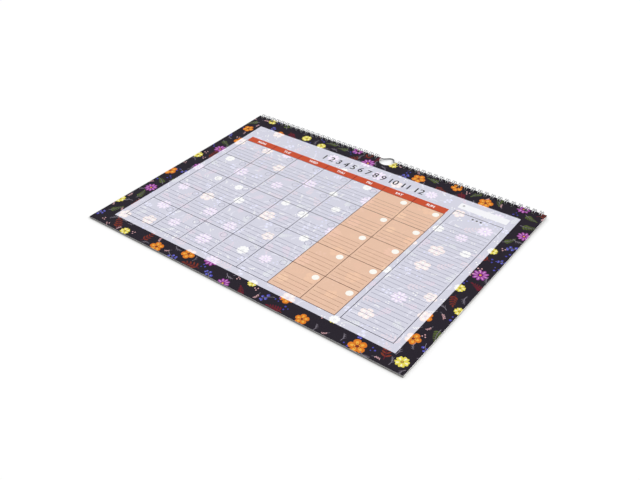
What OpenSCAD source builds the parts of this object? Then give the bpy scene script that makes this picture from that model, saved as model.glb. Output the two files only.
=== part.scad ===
// Wire-bound monthly planner, lying on a desk: a stack of landscape sheets on a stiff back card.
// Two lengths of twin-loop wire hold the long top edge, on either side of a thumb notch.
// A wire hanger is trapped inside the loops, and its bump swings in the notch.
// Millimetres. X runs along the binding, +Y points at the binding, +Z is up.
// The origin is on the desk, under the middle of the sheets.

/* [Sheets] */
// Length of the sheets along the binding
sheet_w = 420; // [300:1:594]
// Depth of the sheets from the free edge to the bound edge
sheet_d = 297; // [210:1:420]
// Thickness of the stack of sheets
pages_t = 1.4; // [0.8:0.1:2]
// Thickness of the back card
card_t = 1; // [0.6:0.1:1.6]
// Air between the back card and the sheets
stack_gap = 0.1; // [0.05:0.05:0.3]
// Length over which the stack rises from the desk to the loops
rise_len = 140; // [80:5:200]

/* [Binding] */
// Distance from one loop to the next
loop_pitch = 8.467; // [6.35:0.001:12.7]
// Mean diameter of a closed loop
loop_d = 6.4; // [6.2:0.1:9]
// Diameter of the binding wire
wire_d = 0.9; // [0.7:0.05:1.1]
// Distance between the two legs of a loop, middle to middle
leg_gap = 2.7; // [2.2:0.1:3.2]
// Bend radius where a leg turns into the bridge to the next loop
bridge_bend_r = 0.8; // [0.6:0.1:1]
// How far the middle of the loops lies inside the bound edge
loop_inset = 0.3; // [0:0.1:0.6]
// Depth of a punched hole, away from the bound edge
hole_d = 4; // [3.5:0.1:5]
// Paper left between a hole and the bound edge
hole_margin = 2; // [1.5:0.1:2.5]
// Clearance between a loop and the sides of its hole
hole_clear = 0.2; // [0.15:0.05:0.5]
// Paper kept beyond the last hole, and between the first hole and the notch
hole_web = 3; // [2:0.5:5]

/* [Hanger] */
// Diameter of the hanger wire
hanger_wire_d = 1.4; // [1.2:0.1:1.8]
// Length of the hanger along the binding
hanger_len = 150; // [90:5:240]
// Height of the bump from the rod, middle to middle of the wire
bump_h = 9; // [7:0.5:12]
// Slope of the bump's legs against the rod
bump_slope = 58; // [50:1:70]
// Bend radius at the top of the bump
bump_top_r = 4; // [2:0.25:5]
// Bend radius where the bump's legs meet the rod
bump_foot_r = 2.5; // [1.5:0.25:3]
// Clearance between the bump and the sides of the notch
notch_clear = 0.8; // [0.5:0.1:3]
// Clearance between the folded bump and the bottom of the notch
notch_end_clear = 2.7; // [2:0.1:6]

/* [Hidden] */
$fn = 48;

card_colour = [0.62, 0.60, 0.57];
paper_colour = [0.93, 0.93, 0.94];
wire_colour = [0.80, 0.81, 0.83];
hanger_colour = [0.52, 0.53, 0.55];

// Seats and running clearances
seat_gap = 0.12;
rod_gap = 0.25;
desk_gap = 0.05;
through = 1;

// A bend is a hair thicker than the straight wire, which runs this far into it at each end
bend_swell = 0.02;
bite = 0.06;

// The loops: legs run clockwise round the axis from leg_start to leg_end, seen with +Y to the right
// and +Z up. The bridges and the rounded tips meet underneath, behind the back card.
loop_r = loop_d / 2;
wire_r = wire_d / 2;
leg_start = 245;
leg_end = -53;
bridge_drop = -bridge_bend_r * cos(leg_start) - loop_r * sin(leg_start);
tip_drop = leg_gap / 2 * cos(leg_end) - loop_r * sin(leg_end);
edge_y = sheet_d / 2;
axis_y = edge_y - loop_inset;
axis_z = max(bridge_drop, tip_drop) + (wire_d + bend_swell) / 2;

// The back card hangs on the lower inside of the loops by the outer walls of its holes
seat_r = loop_r - wire_r - seat_gap;
lift = axis_z - sqrt(seat_r ^ 2 - (hole_margin - loop_inset) ^ 2);

// The bump: an arc at its top, two straight legs, and a bend from each leg into the rod
top_run = bump_top_r * sin(bump_slope);
top_fall = bump_top_r * (1 - cos(bump_slope));
foot_run = bump_foot_r * sin(bump_slope);
foot_rise = bump_foot_r * (1 - cos(bump_slope));
leg_len = (bump_h - top_fall - foot_rise) / sin(bump_slope);
bump_half = top_run + leg_len * cos(bump_slope) + foot_run;

// The notch lets the bump through
notch_r = bump_half + notch_clear;
notch_depth = bump_h + hanger_wire_d / 2 + notch_end_clear;

// Loops are numbered outwards from the middle of the binding
hole_w = leg_gap + wire_d + 2 * hole_clear;
first_loop = ceil((notch_r + hole_web + hole_w / 2) / loop_pitch);
last_loop = floor((sheet_w / 2 - hole_web - hole_w / 2) / loop_pitch);
stub_len = (loop_pitch - leg_gap) / 2 - bridge_bend_r;

// The hanger's rod lies low inside the loops, just outside the bound edge
rod_r = hanger_wire_d / 2;
rod_reach = loop_r - wire_r - rod_gap - rod_r;
rod_out = loop_inset + rod_gap + rod_r;
rod_y = axis_y + rod_out;
rod_z = axis_z - sqrt(rod_reach ^ 2 - rod_out ^ 2);
bump_drop = asin((rod_z - rod_r - desk_gap) / bump_h);

// Height of the stack's underside above the desk
rise_steps = 10;
rise_start = edge_y - rise_len;
function rise(y) = lift * (max(0, y - rise_start) / rise_len) ^ 2;
stations = concat([-edge_y], [for (i = [0 : rise_steps]) rise_start + rise_len * i / rise_steps]);

// A layer of the stack, z0 above the underside
module layer(z0, thickness) {
    under = [for (y = stations) [y, z0 + rise(y)]];
    over = [for (i = [len(stations) - 1 : -1 : 0]) [stations[i], z0 + thickness + rise(stations[i])]];
    difference() {
        rotate([90, 0, 90])
            linear_extrude(height = sheet_w, center = true)
                polygon(concat(under, over));
        punching();
    }
}

// Everything punched out of a layer: a hole for each loop, and the notch
module punching() {
    height = lift + card_t + stack_gap + pages_t + 2 * through;
    hole_y = edge_y - hole_margin - hole_d;
    translate([0, 0, -through]) {
        for (side = [-1, 1], k = [first_loop : last_loop])
            translate([side * k * loop_pitch - hole_w / 2, hole_y, 0])
                cube([hole_w, hole_d, height]);
        linear_extrude(height = height) notch_outline();
    }
}

// Round-bottomed notch, open at the bound edge
module notch_outline() {
    mouth = notch_depth - notch_r;
    translate([0, edge_y - mouth]) circle(r = notch_r);
    translate([-notch_r, edge_y - mouth]) square([2 * notch_r, mouth + through]);
}

// Places children on the loop at an angle: Y along the wire clockwise, Z outwards
module on_loop(angle) {
    rotate([angle - 90, 0, 0]) translate([0, 0, loop_r]) children();
}

// A stretch of round wire turned in the XY plane about the origin
module arc(arc_r, thickness, start, sweep) {
    rotate([0, 0, start])
        rotate_extrude(angle = sweep)
            translate([arc_r, 0]) circle(d = thickness);
}

// A tight bend, which takes in the ends of the wire on either side
module bend(bend_r, thickness, start, sweep) {
    arc(bend_r, thickness + bend_swell, start, sweep);
}

// A straight stretch of round wire along +X, with its ends in the bends beside it
module rod(length, thickness) {
    translate([-bite, 0, 0]) rotate([0, 90, 0]) cylinder(d = thickness, h = length + 2 * bite);
}

// One loop: two legs round the axis, a rounded tip, and the bends into its bridges
module loop() {
    leg_bite = bite / loop_r * 180 / PI;
    for (side = [-1, 1])
        translate([side * leg_gap / 2, 0, 0])
            rotate([90, 0, 90])
                arc(loop_r, wire_d, leg_end - leg_bite, leg_start - leg_end + 2 * leg_bite);
    on_loop(leg_end) bend(leg_gap / 2, wire_d, 0, 180);
    on_loop(leg_start) {
        elbow_x = leg_gap / 2 + bridge_bend_r;
        translate([elbow_x, 0, 0]) bend(bridge_bend_r, wire_d, 180, 90);
        translate([-elbow_x, 0, 0]) bend(bridge_bend_r, wire_d, 270, 90);
    }
}

// A length of twin-loop wire, from its lowest-numbered loop to its highest
module binding_wire(from_loop, to_loop) {
    bridge_len = 2 * stub_len;
    stub_start = leg_gap / 2 + bridge_bend_r;
    translate([0, axis_y, axis_z]) {
        for (k = [from_loop : to_loop])
            translate([k * loop_pitch, 0, 0]) loop();
        on_loop(leg_start) translate([0, -bridge_bend_r, 0]) {
            for (k = [from_loop : to_loop - 1])
                translate([k * loop_pitch + stub_start, 0, 0]) rod(bridge_len, wire_d);
            translate([from_loop * loop_pitch - stub_start - stub_len, 0, 0]) rod(stub_len, wire_d);
            translate([to_loop * loop_pitch + stub_start, 0, 0]) rod(stub_len, wire_d);
        }
    }
}

// One side of the hanger, from the arc at the top of the bump to the end of the rod
module hanger_side() {
    translate([top_run, bump_h - top_fall, 0])
        rotate([0, 0, -bump_slope]) rod(leg_len, hanger_wire_d);
    translate([bump_half, bump_foot_r, 0])
        bend(bump_foot_r, hanger_wire_d, 270 - bump_slope, bump_slope);
    translate([bump_half, 0, 0]) rod(hanger_len / 2 - bump_half, hanger_wire_d);
}

module back_card() { color(card_colour) layer(0, card_t); }
module page_block() { color(paper_colour) layer(card_t + stack_gap, pages_t); }
module binding_wire_left() { color(wire_colour) binding_wire(-last_loop, -first_loop); }
module binding_wire_right() { color(wire_colour) binding_wire(first_loop, last_loop); }

module hanger() {
    color(hanger_colour)
        translate([0, rod_y, rod_z])
            rotate([-bump_drop, 0, 0]) {
                translate([0, bump_h - bump_top_r, 0])
                    bend(bump_top_r, hanger_wire_d, 90 - bump_slope, 2 * bump_slope);
                hanger_side();
                mirror([1, 0, 0]) hanger_side();
            }
}

back_card();
page_block();
binding_wire_left();
binding_wire_right();
hanger();
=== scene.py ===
"""Looks of a wire-bound monthly planner: a printed sheet on plain ones, grey board and bright wire.

The print is cut into the top sheet as fields of colour. It is drawn in millimetres on the flat sheet,
with X along the lines of print, Y towards the binding and the origin at the middle of the sheet.
"""
import math
import random

import bpy
from mathutils import Matrix, Vector
from mathutils.geometry import delaunay_2d_cdt


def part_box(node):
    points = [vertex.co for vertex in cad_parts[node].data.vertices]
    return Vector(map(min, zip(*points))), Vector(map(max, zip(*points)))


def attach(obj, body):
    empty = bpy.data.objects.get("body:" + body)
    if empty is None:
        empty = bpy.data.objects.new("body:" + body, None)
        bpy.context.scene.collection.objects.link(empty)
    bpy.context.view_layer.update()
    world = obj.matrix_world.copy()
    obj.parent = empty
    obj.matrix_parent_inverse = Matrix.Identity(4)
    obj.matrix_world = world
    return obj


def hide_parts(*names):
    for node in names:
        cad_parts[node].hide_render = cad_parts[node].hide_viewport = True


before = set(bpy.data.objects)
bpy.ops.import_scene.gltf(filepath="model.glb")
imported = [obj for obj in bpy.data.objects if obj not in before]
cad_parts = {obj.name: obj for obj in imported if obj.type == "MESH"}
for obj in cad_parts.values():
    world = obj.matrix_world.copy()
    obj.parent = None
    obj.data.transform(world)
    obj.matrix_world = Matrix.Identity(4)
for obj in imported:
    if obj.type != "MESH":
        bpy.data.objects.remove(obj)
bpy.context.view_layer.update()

MM = 0.001

# The stack of sheets, from its CAD solid and the sizes in the part's source
STACK_LOW, STACK_HIGH = (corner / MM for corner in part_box("page_block"))
EDGE_X = STACK_HIGH.x
EDGE_Y = STACK_HIGH.y
STACK_T = 1.4
LIFT = STACK_HIGH.z - STACK_LOW.z - STACK_T
RISE_LEN = 140
RISE_STEPS = 10
RISE_START = EDGE_Y - RISE_LEN
LOOP_PITCH = 8.467
LOOPS = range(2, 25)
HOLE_W = 4
HOLE_DEPTH = 4
HOLE_MARGIN = 2
HOLE_TOP = EDGE_Y - HOLE_MARGIN
HOLE_LOW = HOLE_TOP - HOLE_DEPTH
NOTCH_R = 10.027
NOTCH_DEPTH = 12.4
NOTCH_STEPS = 24
NOTCH_OVERCUT = 1

# The sheets that stand for the stack: their number, thickness, and how far each may lie out of line
SHEETS = 12
SHEET_T = 0.105
SHEET_PITCH = (STACK_T - SHEET_T) / (SHEETS - 1)
SHEET_SLIP = 0.07

# Limits of the flat mesh: the distance at which points join, the digits that tell points apart, and the
# least area of a letter's face, in the typeface's own units
JOIN_DISTANCE = 1e-5
POINT_DIGITS = 4
LEAST_AREA = 1e-6

# Places on the printed sheet
PANEL = (-189.1, 189.4, -129.4, 125.6)
GRID_LEFT = -179.8
GRID_TOP = 87.2
GRID_LOW = -120.2
DAYS = 7
WEEKS = 5
DAY_W = 42.1
WEEK_H = (GRID_TOP - GRID_LOW) / WEEKS
GRID_RIGHT = GRID_LEFT + DAYS * DAY_W
WEEKDAYS = 5
BAR_LOW = 87.4
BAR_TOP = 98.1
RULES_IN_CELL = 4
RULE_PITCH = 6
RULE_LIFT = 5.5
RULE_MARGIN = 2.8
RULE_T = 0.45
LINE_T = 0.75
DATE_INSET = 7
DATE_R = 4
RING_T = 0.35
NOTES = (121.5, 181, -119.6, 99.8)
NOTES_RULES_TOP = 72
NOTES_DOT_R = 1.3
NOTES_DOT_PITCH = 5
NOTES_DOT_DROP = 4.6
FIELD = (120.5, 180.9, 106.75, 117.4)
FIELD_ROUND = 1.2
SIGN_INSET = 5
SIGN_DROP = 4.2
SIGN_H = 3.4
TITLE_X = 2
TITLE_Y = 110.8
TITLE_H = 9.8
TITLE_BOLD = 0.2
LABEL_H = 4.2
LABEL_BOLD = 0.03
LETTER_STEPS = 4

# The flower print: the least distance between motifs of each kind, and how often a place is tried
SEED = 7
FLOWER_GAP = 28.0
FLOWER_TRIES = 2500
SPRAY_GAP = 16.5
SPRAY_TRIES = 2500
FILLER_GAP = 9.5
FILLER_TRIES = 3000
MOTIF_LEAST = 0.85
MOTIF_MOST = 1.12

# Colours as they are printed, in sRGB
GROUND = "night"
INKS = {
    "night": (44, 39, 48),
    "purple": (160, 72, 160),
    "lilac": (214, 158, 214),
    "plum": (84, 30, 92),
    "orange": (226, 128, 40),
    "amber": (244, 180, 74),
    "rust": (128, 56, 42),
    "wine": (112, 34, 50),
    "yellow": (234, 220, 92),
    "cream": (250, 244, 200),
    "blue": (82, 80, 178),
    "sky": (140, 144, 222),
    "moss": (92, 106, 56),
    "smoke": (138, 131, 143),
    "blush": (226, 178, 182),
    "bar": (204, 84, 54),
    "line": (58, 56, 74),
    "rule": (120, 120, 144),
    "peach_line": (96, 62, 50),
    "peach_rule": (160, 118, 95),
    "ring": (118, 118, 142),
    "type": (34, 32, 42),
    "white": (248, 248, 252),
    "warm_white": (254, 252, 245),
}

# A pale film over the print: its colour over the ground, and the share of another ink that shows through
FILMS = {"panel": ((216, 215, 230), 0.3), "peach": ((234, 195, 170), 0.06)}

# Colours of what isn't printed, with the darkest and lightest of the flecks in them
PAPER = (240, 240, 242)
PAPER_FLECKS = ((232, 231, 232), (246, 246, 247))
BOARD = (176, 173, 168)
BOARD_FLECKS = ((154, 151, 146), (196, 193, 188))
SILVER = (224, 225, 228)
STEEL = (132, 134, 138)

# The photograph's camera: degrees, millimetres, and a focal length in pixels of a 640 x 480 picture
PICTURE_W = 640
CAM_AZIMUTH = 38.2014
CAM_ELEVATION = 36.3619
CAM_ROLL = -1.5686
CAM_DISTANCE = 867.0289
CAM_RIGHT = 4.9316
CAM_UP = -24.3107
CAM_FOCAL_PX = 770.3917
CAM_CLIP = 0.01
SENSOR_W = 36

# The light: the room's share of it, the side that the lamp stands on and the degrees that the lamp fills
ROOM_LIGHT = 0.38
LAMP_SIDE = (0.78, 0.3, 0.72)
LAMP_SPREAD = 30

# The floor: its reach in metres, its own tone, the level at which it is seen, and the reach in metres
# of the contact shade painted into its glow. Its glow is taken away under the stack as painted shade,
# from an inset at the free edges to a distance past the bound edge.
FLOOR_REACH = 4.0
FLOOR_TONE = 0.42
FLOOR_SEEN = 1.02
SHADE_REACH = 0.006
UNDER_INSET = 1
UNDER_LOOPS = 3

# What is seen of the room: white walls up to a height, as a share of straight up, then a dim ceiling,
# which the tilt lifts at the front and lowers at the back
WALL_TOP = 0.3
CEILING_LOW = 0.55
CEILING_TILT = 1.2
CEILING_TONE = 0.03


def rise(y):
    """Height that the stack's bend adds at a distance along the sheet."""
    return LIFT * (max(0.0, y - RISE_START) / RISE_LEN) ** 2


def linear(colour):
    """An sRGB colour of 0 to 255 as linear light."""
    shares = [c / 255 for c in colour]
    return tuple(s / 12.92 if s <= 0.04045 else ((s + 0.055) / 1.055) ** 2.4 for s in shares)


def filmed(ink, film):
    """The colour of an ink under a film, which takes half the colour out of it."""
    over_ground, share = FILMS[film]
    grey = sum(INKS[ink]) / 3
    shown = zip(over_ground, INKS[ink], INKS[GROUND])
    return tuple(min(255, base + share * ((colour + grey) / 2 - ground)) for base, colour, ground in shown)


def rectangle(left, right, low, top):
    """A rectangle, anticlockwise as every loop here."""
    return [(left, low), (right, low), (right, top), (left, top)]


def rounded(left, right, low, top, r, steps=4):
    """A rectangle with round corners."""
    loop = []
    corners = ((right - r, top - r), (left + r, top - r), (left + r, low + r), (right - r, low + r))
    for quarter, (x, y) in enumerate(corners):
        for step in range(steps + 1):
            a = math.pi / 2 * (quarter + step / steps)
            loop.append((x + r * math.cos(a), y + r * math.sin(a)))
    return loop


def disc(r, sides=16, x=0.0, y=0.0):
    """A round spot with a number of sides."""
    turns = [2 * math.pi * k / sides for k in range(sides)]
    return [(x + r * math.cos(a), y + r * math.sin(a)) for a in turns]


def ring(r, width, x, y, sides=20):
    """A circular line, as one four-sided loop for each of its sides."""
    outer = disc(r, sides, x, y)
    inner = disc(r - width, sides, x, y)
    after = [(k + 1) % sides for k in range(sides)]
    return [[outer[k], outer[n], inner[n], inner[k]] for k, n in enumerate(after)]


def petal(start, end, width, dent=0.0, sides=14):
    """A petal along +Y, widest towards its tip, which a dent makes heart-shaped."""
    loop = []
    for k in range(sides):
        a = 2 * math.pi * k / sides
        out = (1 - math.cos(a)) / 2
        x = -width / 2 * math.sin(a) * (0.5 + 0.6 * out)
        y = start + (end - start) * out - dent * math.exp(-((a - math.pi) / 0.5) ** 2)
        loop.append((x, y))
    return loop[::-1]


def leaf(length, width, steps=5):
    """A pointed leaf along +Y from the origin."""
    side = [(width / 2 * math.sin(math.pi * k / steps) ** 0.8, length * k / steps) for k in range(1, steps)]
    return [(0.0, 0.0)] + side + [(0.0, length)] + [(-x, y) for x, y in reversed(side)]


def bow(length, sag, share):
    """A point on a bowed stem along +Y, and the stem's slope there."""
    x = 4 * sag * share * (1 - share)
    slope = math.atan2(4 * sag * (1 - 2 * share), length)
    return x, length * share, slope


def stem(length, sag, width, steps=6):
    """A thin bowed stem along +Y that tapers to its tip."""
    left, right = [], []
    for k in range(steps + 1):
        x, y, slope = bow(length, sag, k / steps)
        half = width / 2 * (1 - 0.6 * k / steps)
        left.append((x - half * math.cos(slope), y + half * math.sin(slope)))
        right.append((x + half * math.cos(slope), y - half * math.sin(slope)))
    return right + left[::-1]


def placed(loop, x=0.0, y=0.0, turn=0.0):
    """A loop turned anticlockwise about the origin and then moved."""
    c, s = math.cos(turn), math.sin(turn)
    return [(x + c * px - s * py, y + s * px + c * py) for px, py in loop]


def whorl(ink, count, loop):
    """A loop repeated round the origin."""
    return [(ink, placed(loop, turn=2 * math.pi * k / count)) for k in range(count)]


def daisy(r):
    """A purple flower of nine petals. In every motif, lengths are shares of its radius."""
    shapes = whorl("purple", 9, petal(0.1 * r, r, 0.5 * r))
    shapes += whorl("lilac", 9, petal(0.35 * r, 0.86 * r, 0.16 * r, sides=10))
    return shapes + [("plum", disc(0.27 * r)), ("amber", disc(0.15 * r, 12))]


def blossom(r):
    """An orange flower of five petals."""
    shapes = whorl("orange", 5, petal(0.05 * r, r, 0.95 * r))
    shapes += whorl("amber", 5, petal(0.2 * r, 0.74 * r, 0.36 * r, sides=12))
    shapes += [("rust", disc(0.2 * r, 12))]
    return shapes + whorl("wine", 10, disc(0.055 * r, 6, 0.0, 0.36 * r))


def primrose(r):
    """A yellow flower of five heart-shaped petals."""
    shapes = whorl("yellow", 5, petal(0.05 * r, r, 0.92 * r, dent=0.2 * r, sides=16))
    shapes += whorl("cream", 5, petal(0.3 * r, 0.8 * r, 0.3 * r, dent=0.1 * r, sides=10))
    return shapes + [("moss", disc(0.2 * r, 12)), ("amber", disc(0.11 * r, 8))]


def spray(r, ink, stalk, pairs=4):
    """A bowed stalk with pairs of leaves and one at its tip."""
    length, sag = 2.2 * r, 0.16 * r
    shapes = []
    for k in range(pairs):
        x, y, slope = bow(length, sag, 0.18 + 0.64 * k / (pairs - 1))
        size = r * (0.78 - 0.09 * k)
        for side in (-1, 1):
            shapes.append((ink, placed(leaf(size, 0.34 * size), x, y - length / 2, side * 0.9 - slope)))
    x, y, slope = bow(length, sag, 0.92)
    shapes.append((ink, placed(leaf(0.6 * r, 0.26 * r), x, y - length / 2, -slope)))
    return shapes + [(stalk, placed(stem(length, sag, 0.09 * r), y=-length / 2))]


def rust_spray(r):
    """A red-brown spray."""
    return spray(r, "rust", "wine")


def wine_spray(r):
    """A dark red spray with one more pair of leaves."""
    return spray(r, "wine", "rust", 5)


def moss_spray(r):
    """A slightly smaller green spray."""
    return spray(0.9 * r, "moss", "smoke", 5)


def berries(r):
    """A forked stalk with blue berries, each with a light on it."""
    length, sag = 2 * r, 0.2 * r
    shapes = [("smoke", placed(stem(length, sag, 0.08 * r), y=-length / 2))]
    for k, side in enumerate((-1, 1, -1, 1, 0)):
        x, y, slope = bow(length, sag, 0.3 + 0.17 * k)
        reach = 0.42 * r if side else 0.0
        turn = side * 0.8 - slope
        if side:
            shapes.append(("smoke", placed(stem(reach, 0.0, 0.06 * r, 1), x, y - length / 2, turn)))
        tip_x = x - reach * math.sin(turn)
        tip_y = y - length / 2 + reach * math.cos(turn)
        size = r * (0.25 - 0.02 * k)
        shapes.append(("blue", disc(size, 14, tip_x, tip_y)))
        shapes.append(("sky", disc(0.42 * size, 8, tip_x - 0.3 * size, tip_y + 0.3 * size)))
    return shapes


def buds(r):
    """A fine stalk with pale buds up both sides."""
    length, sag = 2.4 * r, -0.25 * r
    shapes = [("smoke", placed(stem(length, sag, 0.1 * r), y=-length / 2))]
    for k in range(7):
        x, y, slope = bow(length, sag, 0.3 + 0.1 * k)
        turn = (0.7 if k % 2 else -0.7) - slope
        shapes.append(("blush", placed(leaf(0.5 * r, 0.24 * r, 3), x, y - length / 2, turn)))
    return shapes


def sprig(r):
    """A bare forked twig."""
    length, sag = 2 * r, 0.3 * r
    shapes = [("smoke", placed(stem(length, sag, 0.12 * r), y=-length / 2))]
    for k in range(6):
        x, y, slope = bow(length, sag, 0.3 + 0.11 * k)
        turn = (0.6 if k % 2 else -0.6) - slope
        twig = stem((0.7 - 0.07 * k) * r, 0.0, 0.09 * r, 1)
        shapes.append(("smoke", placed(twig, x, y - length / 2, turn)))
    return shapes


def pips(r):
    """Three small pale dots."""
    return [("blush", placed(disc(0.26 * r, 10, 0.0, 0.62 * r), turn=2.1 * k)) for k in range(3)]


def dots(r):
    """Three loose blue dots."""
    return [("blue", placed(disc((0.3 - 0.05 * k) * r, 12, 0.0, 0.7 * r), turn=2.1 * k)) for k in range(3)]


def spread(draw, taken, gap, tries):
    """Random places that keep a gap from each other and from those taken before, which they join."""
    found = []
    for _ in range(tries):
        x = draw.uniform(-EDGE_X, EDGE_X)
        y = draw.uniform(-EDGE_Y, EDGE_Y)
        if all(math.hypot(x - other_x, y - other_y) > gap for other_x, other_y in taken):
            taken.append((x, y))
            found.append((x, y))
    return found


def scattered():
    """The flower print over the whole sheet: flowers, sprays between them, and small motifs in the rest.

    Each motif stands with its usual radius.
    """
    flowers = ((daisy, 8.5), (blossom, 8.3), (primrose, 7.0))
    sprays = ((rust_spray, 8.0), (berries, 7.4), (wine_spray, 7.6), (moss_spray, 8.0))
    fillers = ((buds, 3.8), (sprig, 5.0), (pips, 3.2), (sprig, 5.6), (dots, 4.0))
    rounds = (
        (flowers, FLOWER_GAP, FLOWER_TRIES),
        (sprays, SPRAY_GAP, SPRAY_TRIES),
        (fillers, FILLER_GAP, FILLER_TRIES),
    )
    draw = random.Random(SEED)
    taken, shapes = [], []
    for motifs, gap, tries in rounds:
        for k, (x, y) in enumerate(spread(draw, taken, gap, tries)):
            motif, size = motifs[k % len(motifs)]
            turn = draw.uniform(0, 2 * math.pi)
            loops = motif(size * draw.uniform(MOTIF_LEAST, MOTIF_MOST))
            shapes += [(ink, placed(loop, x, y, turn)) for ink, loop in loops]
    return shapes


def lettering(body, x, y, height, ink, weight=0.0):
    """Characters in Blender's own typeface, centred on a point, with a capital's height."""
    curve = bpy.data.curves.new("lettering", "FONT")
    curve.body = body
    curve.offset = weight
    curve.resolution_u = LETTER_STEPS
    holder = bpy.data.objects.new("lettering", curve)
    mesh = holder.to_mesh()
    points = [(v.co.x, v.co.y) for v in mesh.vertices]
    faces = [list(p.vertices) for p in mesh.polygons if p.area > LEAST_AREA]
    holder.to_mesh_clear()
    bpy.data.objects.remove(holder)
    bpy.data.curves.remove(curve)
    low_x, high_x = min(p[0] for p in points), max(p[0] for p in points)
    low_y, high_y = min(p[1] for p in points), max(p[1] for p in points)
    size = height / (high_y - low_y)
    middle_x, middle_y = (low_x + high_x) / 2, (low_y + high_y) / 2
    flat = [(x + size * (px - middle_x), y + size * (py - middle_y)) for px, py in points]
    return [(ink, [flat[k] for k in face]) for face in faces]


def outline(left, right, low, top, width, ink):
    """A rectangular frame of thin lines, centred on the rectangle."""
    h = width / 2
    return [
        (ink, rectangle(left - h, right + h, top - h, top + h)),
        (ink, rectangle(left - h, right + h, low - h, low + h)),
        (ink, rectangle(left - h, left + h, low + h, top - h)),
        (ink, rectangle(right - h, right + h, low + h, top - h)),
    ]


def day_grid():
    """The month's cells: lines, ruled lines and a round place for each date."""
    shapes = []
    for day in range(DAYS):
        left = GRID_LEFT + day * DAY_W
        right = left + DAY_W
        weekday = day < WEEKDAYS
        rule = "rule" if weekday else "peach_rule"
        for week in range(WEEKS):
            top = GRID_TOP - week * WEEK_H
            low = top - WEEK_H
            for k in range(RULES_IN_CELL):
                y = low + RULE_LIFT + k * RULE_PITCH
                shapes.append((rule, rectangle(left + RULE_MARGIN, right - RULE_MARGIN, y, y + RULE_T)))
            date = (right - DATE_INSET, top - DATE_INSET)
            if weekday:
                shapes += [("ring", loop) for loop in ring(DATE_R, RING_T, *date)]
            else:
                shapes.append(("warm_white", disc(DATE_R, 24, *date)))
    for day in range(DAYS + 1):
        x = GRID_LEFT + day * DAY_W
        ink = "line" if day < WEEKDAYS else "peach_line"
        shapes.append((ink, rectangle(x - LINE_T / 2, x + LINE_T / 2, GRID_LOW, GRID_TOP)))
    split = GRID_LEFT + WEEKDAYS * DAY_W
    for week in range(WEEKS + 1):
        y = GRID_TOP - week * WEEK_H
        shapes.append(("line", rectangle(GRID_LEFT - LINE_T / 2, split, y - LINE_T / 2, y + LINE_T / 2)))
        right = GRID_RIGHT + LINE_T / 2
        shapes.append(("peach_line", rectangle(split, right, y - LINE_T / 2, y + LINE_T / 2)))
    return shapes


def header():
    """The coloured bar with the names of the days, and the months' numbers above it.

    The numbers are drawn twice, side by side, because a thicker outline would fill the digits' openings.
    """
    shapes = [("bar", rectangle(GRID_LEFT, GRID_RIGHT, BAR_LOW, BAR_TOP))]
    for day, name in enumerate(("MON", "TUE", "WED", "THU", "FRI", "SAT", "SUN")):
        x = GRID_LEFT + (day + 0.5) * DAY_W
        shapes += lettering(name, x, (BAR_LOW + BAR_TOP) / 2, LABEL_H, "white", LABEL_BOLD)
        if day:
            edge = GRID_LEFT + day * DAY_W
            shapes.append(("wine", rectangle(edge - LINE_T / 2, edge + LINE_T / 2, BAR_LOW, BAR_TOP)))
    months = " ".join(str(month) for month in range(1, 13))
    for side in (-1, 1):
        shapes += lettering(months, TITLE_X + side * TITLE_BOLD, TITLE_Y, TITLE_H, "type")
    return shapes


def notes():
    """The ruled column beside the month, and the white field above it."""
    left, right, low, top = NOTES
    shapes = outline(left, right, low, top, LINE_T, "line")
    y = NOTES_RULES_TOP
    while y > low + RULE_LIFT - RULE_T:
        shapes.append(("rule", rectangle(left + RULE_MARGIN, right - RULE_MARGIN, y, y + RULE_T)))
        y -= RULE_PITCH
    middle = (left + right) / 2
    for k in (-1, 0, 1):
        dot_x = middle + NOTES_DOT_PITCH * k
        shapes.append(("type", disc(NOTES_DOT_R, 12, dot_x, top - NOTES_DOT_DROP)))
    shapes.append(("white", rounded(*FIELD, FIELD_ROUND)))
    field_left, _, _, field_top = FIELD
    shapes += lettering("#", field_left + SIGN_INSET, field_top - SIGN_DROP, SIGN_H, "type")
    return shapes


def punching():
    """A hole for each loop of the binding, and the round-bottomed notch."""
    cuts = []
    for k in LOOPS:
        for side in (-1, 1):
            x = side * k * LOOP_PITCH
            cuts.append(rectangle(x - HOLE_W / 2, x + HOLE_W / 2, HOLE_LOW, HOLE_TOP))
    middle = EDGE_Y - NOTCH_DEPTH + NOTCH_R
    turns = [math.pi * (1 + k / NOTCH_STEPS) for k in range(NOTCH_STEPS + 1)]
    notch = [(NOTCH_R * math.cos(a), middle + NOTCH_R * math.sin(a)) for a in turns]
    mouth_y = EDGE_Y + NOTCH_OVERCUT
    return cuts + [notch + [(NOTCH_R, mouth_y), (-NOTCH_R, mouth_y)]]


def layers(printed):
    """Everything on a sheet from the ground up: (kind, name, loop), where the kind is ink, film or cut."""
    stack = [("ink", GROUND, rectangle(-EDGE_X, EDGE_X, -EDGE_Y, EDGE_Y))]
    if printed:
        stack += [("ink", ink, loop) for ink, loop in scattered()]
        stack.append(("film", "panel", rectangle(*PANEL)))
        weekend = GRID_LEFT + WEEKDAYS * DAY_W
        stack.append(("film", "peach", rectangle(weekend, GRID_RIGHT, GRID_LOW, GRID_TOP)))
        stack += [("ink", ink, loop) for ink, loop in day_grid() + header() + notes()]
    return stack + [("cut", "", loop) for loop in punching()]


def tone(stack, covers):
    """The (ink, film) that shows where these layers lie on each other, or None if the sheet is cut away."""
    if 0 not in covers:
        return None
    ink, film = GROUND, None
    for k in sorted(covers):
        kind, name, _ = stack[k]
        if kind == "cut":
            return None
        if kind == "film":
            film = name
        else:
            ink, film = name, None
    return ink, film


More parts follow.
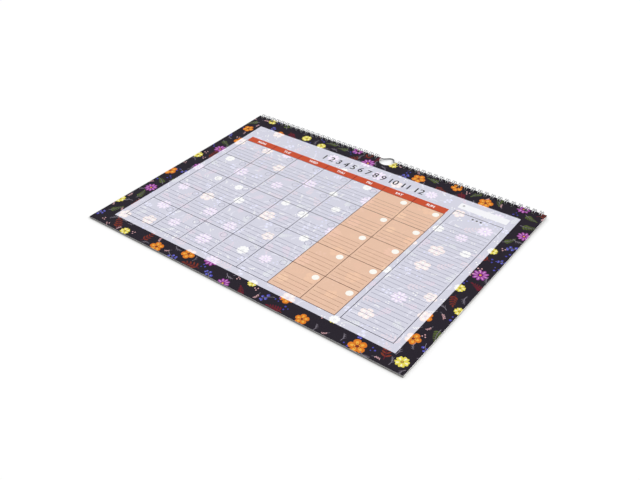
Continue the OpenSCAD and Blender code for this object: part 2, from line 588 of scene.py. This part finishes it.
def partition(stack):
    """Points and triangles of the flat sheet, and the tone of each triangle."""
    points, faces = [], []
    for _, _, loop in stack:
        faces.append(list(range(len(points), len(points) + len(loop))))
        points += [Vector(p) for p in loop]
    bends = []
    for k in range(RISE_STEPS):
        y = RISE_START + RISE_LEN * k / RISE_STEPS
        bends.append((len(points), len(points) + 1))
        points += [Vector((-EDGE_X, y)), Vector((EDGE_X, y))]
    inside_only = 1
    flat, _, triangles, _, _, covers = delaunay_2d_cdt(points, bends, faces, inside_only, JOIN_DISTANCE)
    tones = [tone(stack, set(c)) for c in covers]
    kept = [(t, n) for t, n in zip(triangles, tones) if n]
    used = sorted({k for t, _ in kept for k in t})
    place = {k: n for n, k in enumerate(used)}
    return [flat[k] for k in used], [[place[k] for k in t] for t, _ in kept], [n for _, n in kept]


def rims(triangles):
    """The loops of points that bound the triangles, the outer one first."""
    edges = {(t[k], t[(k + 1) % 3]) for t in triangles for k in range(3)}
    after = {a: b for a, b in edges if (b, a) not in edges}
    loops = []
    while after:
        loop = [min(after)]
        while loop[-1] in after:
            loop.append(after.pop(loop[-1]))
        loops.append(loop[:-1])
    return sorted(loops, key=len, reverse=True)


def sheet_solid(points, triangles, top_z, shift=(0.0, 0.0)):
    """Corners and faces of a thin closed sheet that follows the bend of the stack.

    The faces are the top, the underside, the sheet's own edges and then the punched ones, whose number is
    given as well.
    """
    loops = rims(triangles)
    outer, *holes = [[points[k] for k in loop] for loop in loops]
    bare = [("ink", GROUND, outer)] + [("cut", "", hole[::-1]) for hole in holes]
    under_points, under_triangles, _ = partition(bare)
    below = {p.to_tuple(POINT_DIGITS): len(points) + k for k, p in enumerate(under_points)}
    under = [[len(points) + k for k in reversed(t)] for t in under_triangles]
    edges = []
    for loop in loops:
        lower = [below[points[k].to_tuple(POINT_DIGITS)] for k in loop]
        for k in range(len(loop)):
            after = (k + 1) % len(loop)
            edges.append([loop[after], loop[k], lower[k], lower[after]])
    heights = [top_z] * len(points) + [top_z - SHEET_T] * len(under_points)
    corners = []
    for p, z in zip(points + under_points, heights):
        corners.append(((p.x + shift[0]) * MM, (p.y + shift[1]) * MM, (z + rise(p.y)) * MM))
    return corners, triangles + under + edges, len(edges) - len(loops[0])


def new_mesh(name, corners, faces):
    """A new piece in the scene."""
    mesh = bpy.data.meshes.new(name)
    mesh.from_pydata(corners, [], faces)
    mesh.update()
    piece = bpy.data.objects.new(name, mesh)
    bpy.context.scene.collection.objects.link(piece)
    return piece


def node(tree, kind, values=None, **settings):
    """A shader node with its settings and socket values."""
    made = tree.nodes.new(kind)
    for key, value in settings.items():
        setattr(made, key, value)
    for key, value in (values or {}).items():
        made.inputs[key].default_value = value
    return made


def principled(name, colour, **values):
    """A new material, its tree and its shader, with plain values on the shader's own sockets."""
    material = bpy.data.materials.new(name)
    material.use_nodes = True
    tree = material.node_tree
    shader = tree.nodes["Principled BSDF"]
    shader.inputs["Base Color"].default_value = (*linear(colour), 1)
    for key, value in values.items():
        shader.inputs[key.replace("_", " ")].default_value = value
    return material, tree, shader


def noise(tree, scale, detail=3.0, stretch=(1, 1, 1)):
    """A noise pattern fixed to the piece, with scale in repeats per metre."""
    where = node(tree, "ShaderNodeTexCoord")
    mapping = node(tree, "ShaderNodeMapping", {"Scale": stretch})
    pattern = node(tree, "ShaderNodeTexNoise", {"Scale": scale, "Detail": detail, "Roughness": 0.6})
    tree.links.new(where.outputs["Object"], mapping.inputs["Vector"])
    tree.links.new(mapping.outputs["Vector"], pattern.inputs["Vector"])
    return pattern.outputs["Fac"]


def to_range(tree, factor, low, high):
    """A factor from the middle of its spread to a range of values."""
    values = {"From Min": 0.3, "From Max": 0.7, "To Min": low, "To Max": high}
    scaled = node(tree, "ShaderNodeMapRange", values)
    tree.links.new(factor, scaled.inputs["Value"])
    return scaled.outputs["Result"]


def roughen(tree, shader, factor, low, high):
    """Roughness between two values."""
    tree.links.new(to_range(tree, factor, low, high), shader.inputs["Roughness"])


def emboss(tree, shader, factor, depth, strength):
    """Bump of a depth in metres."""
    bump = node(tree, "ShaderNodeBump", {"Strength": strength, "Distance": depth})
    tree.links.new(factor, bump.inputs["Height"])
    tree.links.new(bump.outputs["Normal"], shader.inputs["Normal"])


def speckle(tree, shader, factor, dark, light):
    """Base colour between two shades."""
    blend = node(tree, "ShaderNodeMix", data_type="RGBA")
    blend.inputs["A"].default_value = (*linear(dark), 1)
    blend.inputs["B"].default_value = (*linear(light), 1)
    tree.links.new(to_range(tree, factor, 0, 1), blend.inputs["Factor"])
    tree.links.new(blend.outputs["Result"], shader.inputs["Base Color"])


def ink_material(ink, film):
    """Printed paper: an even ink over the tooth of the paper."""
    name = f"print_{ink}_{film}" if film else f"print_{ink}"
    colour = filmed(ink, film) if film else INKS[ink]
    material, tree, shader = principled(name, colour, Specular_IOR_Level=0.12)
    roughen(tree, shader, noise(tree, scale=90), low=0.5, high=0.62)
    emboss(tree, shader, noise(tree, scale=2600, detail=4), depth=0.00002, strength=0.25)
    return material


def paper_material():
    """Bare paper, with fibres that run along the lines of print."""
    material, tree, shader = principled("bare_paper", PAPER, Specular_IOR_Level=0.3)
    fibres = noise(tree, scale=1500, detail=5, stretch=(1, 3, 1))
    speckle(tree, shader, fibres, *PAPER_FLECKS)
    roughen(tree, shader, noise(tree, scale=90), low=0.62, high=0.75)
    emboss(tree, shader, fibres, depth=0.00003, strength=0.3)
    return material


def board_material():
    """Grey board of pulped paper, with darker and lighter flecks."""
    material, tree, shader = principled("grey_board", BOARD, Specular_IOR_Level=0.25)
    flecks = noise(tree, scale=700, detail=6, stretch=(1, 2, 1))
    speckle(tree, shader, flecks, *BOARD_FLECKS)
    roughen(tree, shader, noise(tree, scale=60), low=0.75, high=0.9)
    emboss(tree, shader, flecks, depth=0.00005, strength=0.4)
    return material


def wire_material(name, colour, metal, smoothest, roughest):
    """Drawn wire, bare or with a silver coat that is only part metal, and a fine uneven polish."""
    material, tree, shader = principled(name, colour, Metallic=metal)
    roughen(tree, shader, noise(tree, scale=900, detail=4), smoothest, roughest)
    emboss(tree, shader, noise(tree, scale=3200, detail=3), depth=0.00001, strength=0.2)
    return material


def dress(node_name, material):
    """Gives a CAD node a finish of its own."""
    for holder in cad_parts[node_name].material_slots:
        holder.material = material


def printed_sheet():
    """The top sheet, with its print as fields of colour."""
    points, triangles, tones = partition(layers(True))
    corners, faces, punched = sheet_solid(points, triangles, STACK_LOW.z + STACK_T)
    piece = new_mesh("printed_sheet", corners, faces)
    shown = sorted(set(tones), key=str)
    for ink, film in shown:
        piece.data.materials.append(ink_material(ink, film))
    piece.data.materials.append(paper_material())
    index = {pair: k for k, pair in enumerate(shown)}
    slots = [index[pair] for pair in tones]
    slots += [len(shown)] * (len(faces) - len(slots) - punched)
    # The walls of the holes take the dark ground ink as painted shade.
    slots += [index[GROUND, None]] * punched
    piece.data.polygons.foreach_set("material_index", slots)
    return piece


def plain_sheets():
    """The sheets under the top one, a little out of line with each other.

    Their tops are inked, the walls of their holes take the same dark ink as painted shade, and the rest is
    bare.
    """
    bare_slot, ink_shade_slot = 0, 1
    draw = random.Random(SEED + 1)
    points, triangles, _ = partition(layers(False))
    corners, faces, slots = [], [], []
    for k in range(SHEETS - 1):
        top_z = STACK_LOW.z + SHEET_T + k * SHEET_PITCH
        shift = (draw.uniform(-SHEET_SLIP, SHEET_SLIP), draw.uniform(-SHEET_SLIP, SHEET_SLIP))
        more_corners, more_faces, punched = sheet_solid(points, triangles, top_z, shift)
        faces += [[c + len(corners) for c in face] for face in more_faces]
        corners += more_corners
        bare = len(more_faces) - len(triangles) - punched
        slots += [ink_shade_slot] * len(triangles) + [bare_slot] * bare + [ink_shade_slot] * punched
    piece = new_mesh("plain_sheets", corners, faces)
    piece.data.materials.append(paper_material())
    piece.data.materials.append(ink_material(GROUND, None))
    piece.data.polygons.foreach_set("material_index", slots)
    return piece


def add_floor():
    """A pale floor seen as white, with shadows on it and painted shade in its glow near and under the
    stack.
    """
    corners = rectangle(-FLOOR_REACH, FLOOR_REACH, -FLOOR_REACH, FLOOR_REACH)
    floor = new_mesh("floor", [(x, y, 0.0) for x, y in corners], [(0, 1, 2, 3)])
    material = bpy.data.materials.new("pale_floor")
    material.use_nodes = True
    tree = material.node_tree
    tree.nodes.clear()
    output = node(tree, "ShaderNodeOutputMaterial")
    matt = node(tree, "ShaderNodeBsdfDiffuse", {"Color": (FLOOR_TONE, FLOOR_TONE, FLOOR_TONE, 1)})
    glow = node(tree, "ShaderNodeEmission")
    both = node(tree, "ShaderNodeAddShader")
    glow_tone = (FLOOR_SEEN - FLOOR_TONE,) * 3
    shade = {"Color": (*glow_tone, 1), "Distance": SHADE_REACH}
    # The glow fades by ambient occlusion near the stack: painted contact shade.
    painted_contact_shade = node(tree, "ShaderNodeAmbientOcclusion", shade)
    strength = node(tree, "ShaderNodeMath", operation="SUBTRACT", use_clamp=True)
    tree.links.new(seen_ray(tree), strength.inputs[0])
    tree.links.new(under_stack(tree), strength.inputs[1])
    tree.links.new(painted_contact_shade.outputs["Color"], glow.inputs["Color"])
    tree.links.new(strength.outputs["Value"], glow.inputs["Strength"])
    tree.links.new(matt.outputs["BSDF"], both.inputs[0])
    tree.links.new(glow.outputs["Emission"], both.inputs[1])
    tree.links.new(both.outputs["Shader"], output.inputs["Surface"])
    floor.data.materials.append(material)


def under_stack(tree):
    """1 on the floor under the stack and the loops, on either side of the notch, and 0 elsewhere.

    The floor's glow is taken away there, as painted shade.
    """
    where = node(tree, "ShaderNodeTexCoord")
    parts = node(tree, "ShaderNodeSeparateXYZ")
    across = node(tree, "ShaderNodeMath", operation="ABSOLUTE")
    middle_x = (EDGE_X + NOTCH_R) / 2
    half_x = EDGE_X - middle_x - UNDER_INSET
    middle_y = (UNDER_LOOPS + UNDER_INSET) / 2
    half_y = EDGE_Y + UNDER_LOOPS - middle_y
    in_x = node(tree, "ShaderNodeMath", {1: middle_x * MM, 2: half_x * MM}, operation="COMPARE")
    in_y = node(tree, "ShaderNodeMath", {1: middle_y * MM, 2: half_y * MM}, operation="COMPARE")
    both = node(tree, "ShaderNodeMath", operation="MULTIPLY")
    tree.links.new(where.outputs["Object"], parts.inputs["Vector"])
    tree.links.new(parts.outputs["X"], across.inputs[0])
    tree.links.new(across.outputs["Value"], in_x.inputs[0])
    tree.links.new(parts.outputs["Y"], in_y.inputs[0])
    tree.links.new(in_x.outputs["Value"], both.inputs[0])
    tree.links.new(in_y.outputs["Value"], both.inputs[1])
    return both.outputs["Value"]


def seen_ray(tree):
    """1 for a ray from the camera, or one that a shiny or clear surface sends on, and 0 for the rest."""
    path = node(tree, "ShaderNodeLightPath")
    seen = path.outputs["Is Camera Ray"]
    for name in ("Is Glossy Ray", "Is Transmission Ray"):
        either = node(tree, "ShaderNodeMath", operation="MAXIMUM")
        tree.links.new(seen, either.inputs[0])
        tree.links.new(path.outputs[name], either.inputs[1])
        seen = either.outputs["Value"]
    return seen


def walls(tree):
    """Brightness of the room as it is seen: white walls, higher at the front, then a dim ceiling."""
    where = node(tree, "ShaderNodeTexCoord")
    parts = node(tree, "ShaderNodeSeparateXYZ")
    tilt = node(tree, "ShaderNodeMath", {1: CEILING_TILT, 2: 1.0}, operation="MULTIPLY_ADD")
    height = node(tree, "ShaderNodeMath", operation="MULTIPLY")
    values = {"From Min": WALL_TOP, "From Max": CEILING_LOW, "To Min": 1.0, "To Max": CEILING_TONE}
    tone_there = node(tree, "ShaderNodeMapRange", values, interpolation_type="SMOOTHSTEP")
    tree.links.new(where.outputs["Generated"], parts.inputs["Vector"])
    tree.links.new(parts.outputs["Y"], tilt.inputs[0])
    tree.links.new(parts.outputs["Z"], height.inputs[0])
    tree.links.new(tilt.outputs["Value"], height.inputs[1])
    tree.links.new(height.outputs["Value"], tone_there.inputs["Value"])
    return tone_there.outputs["Result"]


def add_lights():
    """An even white room and a broad soft lamp on the right, which together light a level sheet in full."""
    world = bpy.data.worlds.new("room")
    bpy.context.scene.world = world
    world.use_nodes = True
    tree = world.node_tree
    background = tree.nodes["Background"]
    background.inputs["Color"].default_value = (1, 1, 1, 1)
    level = node(tree, "ShaderNodeMapRange", {"To Min": ROOM_LIGHT})
    tree.links.new(seen_ray(tree), level.inputs["Value"])
    tree.links.new(walls(tree), level.inputs["To Max"])
    tree.links.new(level.outputs["Result"], background.inputs["Strength"])
    lamp = bpy.data.lights.new("soft_lamp", "SUN")
    lamp.angle = math.radians(LAMP_SPREAD)
    towards = Vector(LAMP_SIDE).normalized()
    lamp.energy = math.pi * (1 - ROOM_LIGHT) / towards.z
    holder = bpy.data.objects.new("soft_lamp", lamp)
    holder.visible_glossy = False
    holder.location = towards
    holder.rotation_euler = towards.to_track_quat("Z", "Y").to_euler()
    bpy.context.scene.collection.objects.link(holder)


def add_camera():
    """The photograph's camera."""
    a, e, r = (math.radians(angle) for angle in (CAM_AZIMUTH, CAM_ELEVATION, CAM_ROLL))
    back = Vector((math.sin(a) * math.cos(e), -math.cos(a) * math.cos(e), math.sin(e)))
    level = Vector((math.cos(a), math.sin(a), 0))
    upright = back.cross(level)
    right = math.cos(r) * level + math.sin(r) * upright
    up = math.cos(r) * upright - math.sin(r) * level
    camera = bpy.data.cameras.new("camera")
    camera.sensor_fit = "HORIZONTAL"
    camera.sensor_width = SENSOR_W
    camera.lens = CAM_FOCAL_PX * SENSOR_W / PICTURE_W
    camera.clip_start = CAM_CLIP
    holder = bpy.data.objects.new("camera", camera)
    place = (CAM_DISTANCE * back + CAM_RIGHT * right + CAM_UP * up) * MM
    turn = Matrix((right, up, back)).transposed()
    holder.matrix_world = Matrix.Translation(place) @ turn.to_4x4()
    bpy.context.scene.collection.objects.link(holder)
    bpy.context.scene.camera = holder


add_camera()
add_lights()
add_floor()

sheets = plain_sheets()
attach(sheets, "pages")
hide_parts("page_block")

top_sheet = printed_sheet()
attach(top_sheet, "pages")

dress("back_card", board_material())
binding = wire_material("silver_wire", SILVER, metal=0.85, smoothest=0.18, roughest=0.28)
dress("binding_wire_left", binding)
dress("binding_wire_right", binding)
dress("hanger", wire_material("steel_wire", STEEL, metal=1.0, smoothest=0.2, roughest=0.38))

bpy.context.scene.view_settings.view_transform = "Standard"
